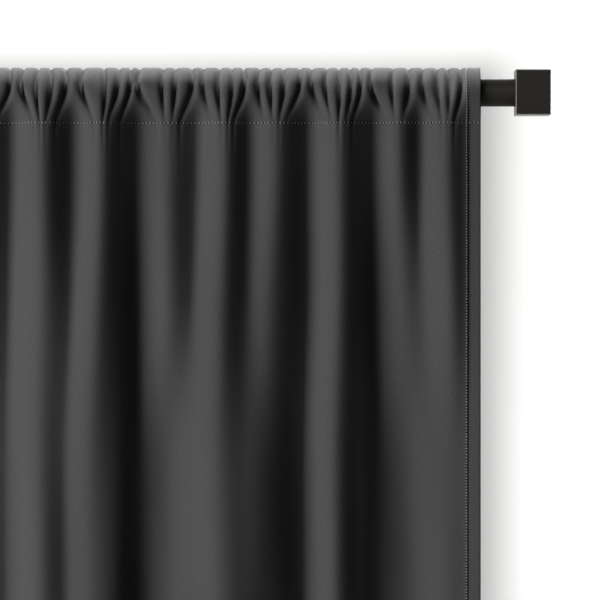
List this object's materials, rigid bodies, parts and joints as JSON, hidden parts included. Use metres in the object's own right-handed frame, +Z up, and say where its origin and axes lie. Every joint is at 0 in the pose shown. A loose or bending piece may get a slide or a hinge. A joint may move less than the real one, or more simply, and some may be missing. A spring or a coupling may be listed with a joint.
{
  "type": "window curtains on a rod",
  "caption": "Charcoal rod-pocket curtains gathered on a bronze telescoping rod with square end blocks on wall brackets; the panels draw apart and swing.",
  "frame": {"origin": "on the wall, level with the rod's axis and midway between the two brackets", "axes": "+X along the rod to the right as seen from the room, +Y into the wall, +Z up"},
  "size_m": [1.3748, 0.1346, 1.6],
  "materials": {
    "charcoal_cloth": "matt triple-woven cloth with a fine grain",
    "white_label": "smooth satin tape, blank",
    "bronze_rod": "satin bronze-black lacquer",
    "bronze_block": "satin bronze-black lacquer, edges a little brighter",
    "bronze_bracket": "satin bronze-black powder coat",
    "screw_steel": "zinc-plated",
    "black_plastic": "moulded, fine texture"
  },
  "bodies": {
    "root": {"finial_right": "bronze_block", "rod_plug_right": "black_plastic", "rod_grub_screw_right": "screw_steel", "arm_grub_screw_right": "screw_steel", "bracket_arm_right": "bronze_bracket", "wall_plate_right": "bronze_bracket", "arm_bolt_right": "screw_steel", "wall_screw_right_upper": "screw_steel", "wall_screw_right_lower": "screw_steel", "rod_outer_tube": "bronze_rod", "telescope_bush": "black_plastic"},
    "left_rod": {"finial_left": "bronze_block", "rod_plug_left": "black_plastic", "rod_grub_screw_left": "screw_steel", "arm_grub_screw_left": "screw_steel", "bracket_arm_left": "bronze_bracket", "wall_plate_left": "bronze_bracket", "arm_bolt_left": "screw_steel", "wall_screw_left_upper": "screw_steel", "wall_screw_left_lower": "screw_steel", "rod_inner_tube": "bronze_rod", "inner_tube_glide": "black_plastic"},
    "right_panel": {"right_rod_pocket": "charcoal_cloth", "right_side_pocket_end": "charcoal_cloth", "right_side_hem": "charcoal_cloth", "right_fold_1": "charcoal_cloth", "right_care_label": "white_label"},
    "right_leading_edge": {"right_leading_pocket_end": "charcoal_cloth", "right_leading_hem": "charcoal_cloth", "right_fold_9": "charcoal_cloth"},
    "right_fold_2": {"right_fold_2": "charcoal_cloth"},
    "right_fold_3": {"right_fold_3": "charcoal_cloth"},
    "right_fold_4": {"right_fold_4": "charcoal_cloth"},
    "right_fold_5": {"right_fold_5": "charcoal_cloth"},
    "right_fold_6": {"right_fold_6": "charcoal_cloth"},
    "right_fold_7": {"right_fold_7": "charcoal_cloth"},
    "right_fold_8": {"right_fold_8": "charcoal_cloth"},
    "left_panel": {"left_rod_pocket": "charcoal_cloth", "left_side_pocket_end": "charcoal_cloth", "left_side_hem": "charcoal_cloth", "left_fold_1": "charcoal_cloth", "left_care_label": "white_label"},
    "left_leading_edge": {"left_leading_pocket_end": "charcoal_cloth", "left_leading_hem": "charcoal_cloth", "left_fold_9": "charcoal_cloth"},
    "left_fold_2": {"left_fold_2": "charcoal_cloth"},
    "left_fold_3": {"left_fold_3": "charcoal_cloth"},
    "left_fold_4": {"left_fold_4": "charcoal_cloth"},
    "left_fold_5": {"left_fold_5": "charcoal_cloth"},
    "left_fold_6": {"left_fold_6": "charcoal_cloth"},
    "left_fold_7": {"left_fold_7": "charcoal_cloth"},
    "left_fold_8": {"left_fold_8": "charcoal_cloth"}
  },
  "joints": [
    {"name": "rod_telescope", "type": "slide", "parent": "root", "child": "left_rod", "axis": [-1, 0, 0], "range_m": [0, 0.3]},
    {"name": "right_swing", "type": "hinge", "parent": "root", "child": "right_panel", "pos_m": [0, -0.08, 0], "axis": [-1, 0, 0], "range_deg": [-2, 10]},
    {"name": "right_draw", "type": "slide", "parent": "right_panel", "child": "right_leading_edge", "axis": [1, 0, 0], "range_m": [0, 0.31], "deforming": ["right_rod_pocket"]},
    {"name": "right_fold_2_draw", "type": "slide", "parent": "right_panel", "child": "right_fold_2", "axis": [1, 0, 0], "range_m": [0, 0.03875]},
    {"name": "right_fold_3_draw", "type": "slide", "parent": "right_panel", "child": "right_fold_3", "axis": [1, 0, 0], "range_m": [0, 0.0775]},
    {"name": "right_fold_4_draw", "type": "slide", "parent": "right_panel", "child": "right_fold_4", "axis": [1, 0, 0], "range_m": [0, 0.11625]},
    {"name": "right_fold_5_draw", "type": "slide", "parent": "right_panel", "child": "right_fold_5", "axis": [1, 0, 0], "range_m": [0, 0.155]},
    {"name": "right_fold_6_draw", "type": "slide", "parent": "right_panel", "child": "right_fold_6", "axis": [1, 0, 0], "range_m": [0, 0.19375]},
    {"name": "right_fold_7_draw", "type": "slide", "parent": "right_panel", "child": "right_fold_7", "axis": [1, 0, 0], "range_m": [0, 0.2325]},
    {"name": "right_fold_8_draw", "type": "slide", "parent": "right_panel", "child": "right_fold_8", "axis": [1, 0, 0], "range_m": [0, 0.27125]},
    {"name": "left_swing", "type": "hinge", "parent": "left_rod", "child": "left_panel", "pos_m": [0, -0.08, 0], "axis": [-1, 0, 0], "range_deg": [-2, 10]},
    {"name": "left_draw", "type": "slide", "parent": "left_panel", "child": "left_leading_edge", "axis": [-1, 0, 0], "range_m": [0, 0.31], "deforming": ["left_rod_pocket"]},
    {"name": "left_fold_2_draw", "type": "slide", "parent": "left_panel", "child": "left_fold_2", "axis": [-1, 0, 0], "range_m": [0, 0.03875]},
    {"name": "left_fold_3_draw", "type": "slide", "parent": "left_panel", "child": "left_fold_3", "axis": [-1, 0, 0], "range_m": [0, 0.0775]},
    {"name": "left_fold_4_draw", "type": "slide", "parent": "left_panel", "child": "left_fold_4", "axis": [-1, 0, 0], "range_m": [0, 0.11625]},
    {"name": "left_fold_5_draw", "type": "slide", "parent": "left_panel", "child": "left_fold_5", "axis": [-1, 0, 0], "range_m": [0, 0.155]},
    {"name": "left_fold_6_draw", "type": "slide", "parent": "left_panel", "child": "left_fold_6", "axis": [-1, 0, 0], "range_m": [0, 0.19375]},
    {"name": "left_fold_7_draw", "type": "slide", "parent": "left_panel", "child": "left_fold_7", "axis": [-1, 0, 0], "range_m": [0, 0.2325]},
    {"name": "left_fold_8_draw", "type": "slide", "parent": "left_panel", "child": "left_fold_8", "axis": [-1, 0, 0], "range_m": [0, 0.27125]}
  ],
  "couplings": [
    {"joint": "right_fold_2_draw", "follows": "right_draw", "ratio": 0.125},
    {"joint": "right_fold_3_draw", "follows": "right_draw", "ratio": 0.25},
    {"joint": "right_fold_4_draw", "follows": "right_draw", "ratio": 0.375},
    {"joint": "right_fold_5_draw", "follows": "right_draw", "ratio": 0.5},
    {"joint": "right_fold_6_draw", "follows": "right_draw", "ratio": 0.625},
    {"joint": "right_fold_7_draw", "follows": "right_draw", "ratio": 0.75},
    {"joint": "right_fold_8_draw", "follows": "right_draw", "ratio": 0.875},
    {"joint": "left_fold_2_draw", "follows": "left_draw", "ratio": 0.125},
    {"joint": "left_fold_3_draw", "follows": "left_draw", "ratio": 0.25},
    {"joint": "left_fold_4_draw", "follows": "left_draw", "ratio": 0.375},
    {"joint": "left_fold_5_draw", "follows": "left_draw", "ratio": 0.5},
    {"joint": "left_fold_6_draw", "follows": "left_draw", "ratio": 0.625},
    {"joint": "left_fold_7_draw", "follows": "left_draw", "ratio": 0.75},
    {"joint": "left_fold_8_draw", "follows": "left_draw", "ratio": 0.875}
  ]
}
